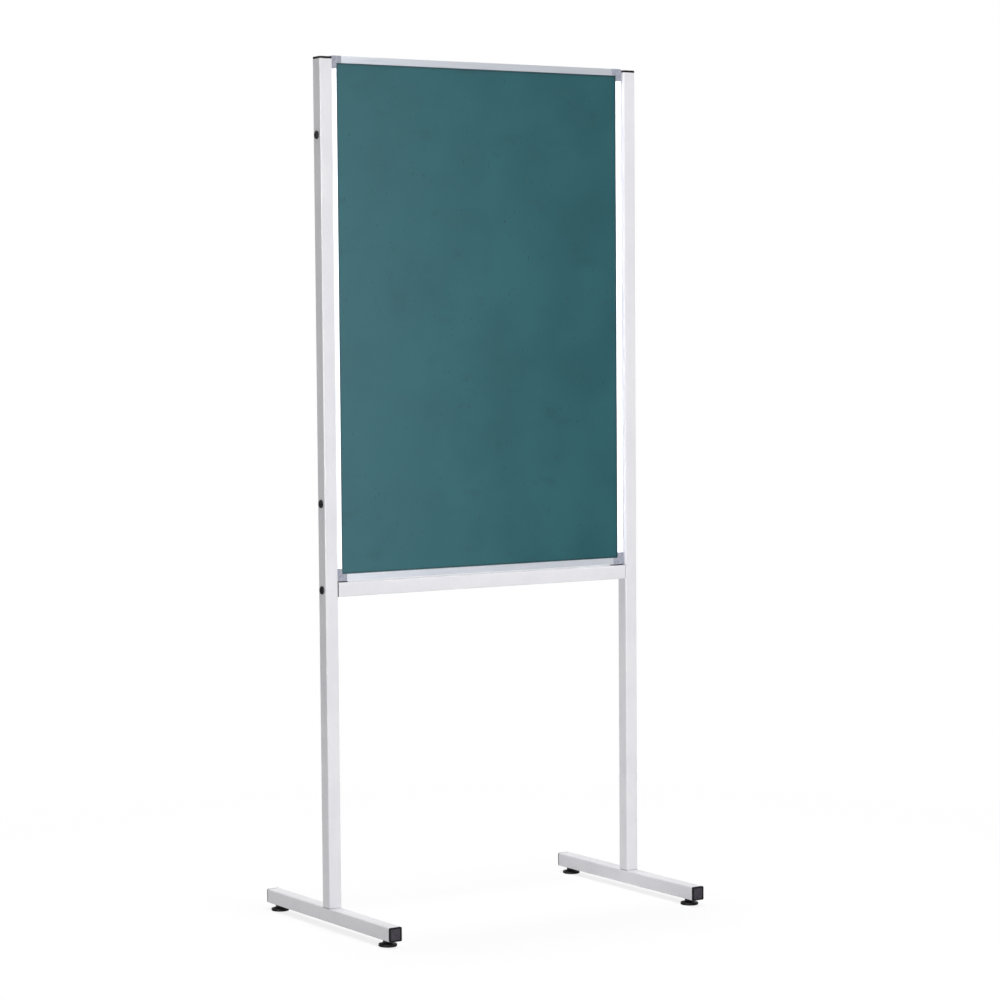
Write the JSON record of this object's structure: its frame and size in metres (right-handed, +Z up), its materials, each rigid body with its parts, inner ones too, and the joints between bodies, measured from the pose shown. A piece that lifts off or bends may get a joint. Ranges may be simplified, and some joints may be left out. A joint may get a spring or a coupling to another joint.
{
  "type": "menu board",
  "caption": "Free-standing menu board: a framed green writing panel held between square white posts on T-shaped feet with levelling pads.",
  "frame": {"origin": "on the floor, midway between the two posts and midway between the front and the rear of the feet", "axes": "+Z up, +X to the right of someone who faces the writing surface, +Y from the front to the rear"},
  "size_m": [0.8138, 0.515, 1.832],
  "materials": {
    "powder_coat": "white powder coat with a fine even texture, satin",
    "anodised_aluminium": "natural anodised, fine lengthwise extrusion lines",
    "grey_plastic": "moulded grey plastic, lightly mottled",
    "black_plastic": "moulded black plastic, satin",
    "black_steel": "blackened steel, satin",
    "zinc_steel": "bright zinc plating",
    "green_enamel": "matt blue-green enamel on steel sheet, faintly clouded",
    "core_board": "light paper-based core, unfinished"
  },
  "bodies": {
    "stand": {"post_left": "powder_coat", "post_right": "powder_coat", "crossbar": "powder_coat", "foot_tube_left": "powder_coat", "foot_tube_right": "powder_coat", "post_cap_left": "black_plastic", "post_cap_right": "black_plastic", "foot_plug_left_front": "black_plastic", "foot_plug_left_rear": "black_plastic", "foot_plug_right_front": "black_plastic", "foot_plug_right_rear": "black_plastic", "foot_insert_left_front": "zinc_steel", "foot_insert_left_rear": "zinc_steel", "foot_insert_right_front": "zinc_steel", "foot_insert_right_rear": "zinc_steel", "foot_bolt_left": "zinc_steel", "foot_bolt_right": "zinc_steel", "post_base_insert_left": "zinc_steel", "post_base_insert_right": "zinc_steel", "crossbar_insert_left": "zinc_steel", "crossbar_insert_right": "zinc_steel", "crossbar_bolt_left": "black_steel", "crossbar_bolt_right": "black_steel", "board_bolt_left_lower": "black_steel", "board_bolt_left_upper": "black_steel", "board_bolt_right_lower": "black_steel", "board_bolt_right_upper": "black_steel", "board_pad_left": "black_plastic", "board_pad_right": "black_plastic", "rail_nut_left_lower": "zinc_steel", "rail_nut_left_upper": "zinc_steel", "rail_nut_right_lower": "zinc_steel", "rail_nut_right_upper": "zinc_steel", "frame_rail_top": "anodised_aluminium", "frame_rail_bottom": "anodised_aluminium", "frame_rail_left": "anodised_aluminium", "frame_rail_right": "anodised_aluminium", "frame_corner_top_left": "grey_plastic", "frame_corner_top_right": "grey_plastic", "frame_corner_bottom_left": "grey_plastic", "frame_corner_bottom_right": "grey_plastic", "board_core": "core_board", "writing_sheet_front": "green_enamel", "writing_sheet_rear": "green_enamel"},
    "pad_left_front": {"levelling_pad_left_front": "black_plastic"},
    "pad_left_rear": {"levelling_pad_left_rear": "black_plastic"},
    "pad_right_front": {"levelling_pad_right_front": "black_plastic"},
    "pad_right_rear": {"levelling_pad_right_rear": "black_plastic"},
    "screw_left_front": {"levelling_screw_left_front": "black_steel"},
    "screw_left_rear": {"levelling_screw_left_rear": "black_steel"},
    "screw_right_front": {"levelling_screw_right_front": "black_steel"},
    "screw_right_rear": {"levelling_screw_right_rear": "black_steel"}
  },
  "joints": [
    {"name": "pad_travel_left_front", "type": "slide", "parent": "stand", "child": "pad_left_front", "axis": [0, 0, -1], "range_m": [0, 0.015]},
    {"name": "pad_travel_left_rear", "type": "slide", "parent": "stand", "child": "pad_left_rear", "axis": [0, 0, -1], "range_m": [0, 0.015]},
    {"name": "pad_travel_right_front", "type": "slide", "parent": "stand", "child": "pad_right_front", "axis": [0, 0, -1], "range_m": [0, 0.015]},
    {"name": "pad_travel_right_rear", "type": "slide", "parent": "stand", "child": "pad_right_rear", "axis": [0, 0, -1], "range_m": [0, 0.015]},
    {"name": "screw_turn_left_front", "type": "hinge", "parent": "pad_left_front", "child": "screw_left_front", "pos_m": [-0.3875, -0.2255, 0.01], "axis": [0, 0, -1], "range_deg": [0, 4320]},
    {"name": "screw_turn_left_rear", "type": "hinge", "parent": "pad_left_rear", "child": "screw_left_rear", "pos_m": [-0.3875, 0.2255, 0.01], "axis": [0, 0, -1], "range_deg": [0, 4320]},
    {"name": "screw_turn_right_front", "type": "hinge", "parent": "pad_right_front", "child": "screw_right_front", "pos_m": [0.3875, -0.2255, 0.01], "axis": [0, 0, -1], "range_deg": [0, 4320]},
    {"name": "screw_turn_right_rear", "type": "hinge", "parent": "pad_right_rear", "child": "screw_right_rear", "pos_m": [0.3875, 0.2255, 0.01], "axis": [0, 0, -1], "range_deg": [0, 4320]}
  ],
  "couplings": [
    {"joint": "screw_turn_left_front", "follows": "pad_travel_left_front", "rad_per_m": 5026.5},
    {"joint": "screw_turn_left_rear", "follows": "pad_travel_left_rear", "rad_per_m": 5026.5},
    {"joint": "screw_turn_right_front", "follows": "pad_travel_right_front", "rad_per_m": 5026.5},
    {"joint": "screw_turn_right_rear", "follows": "pad_travel_right_rear", "rad_per_m": 5026.5}
  ]
}
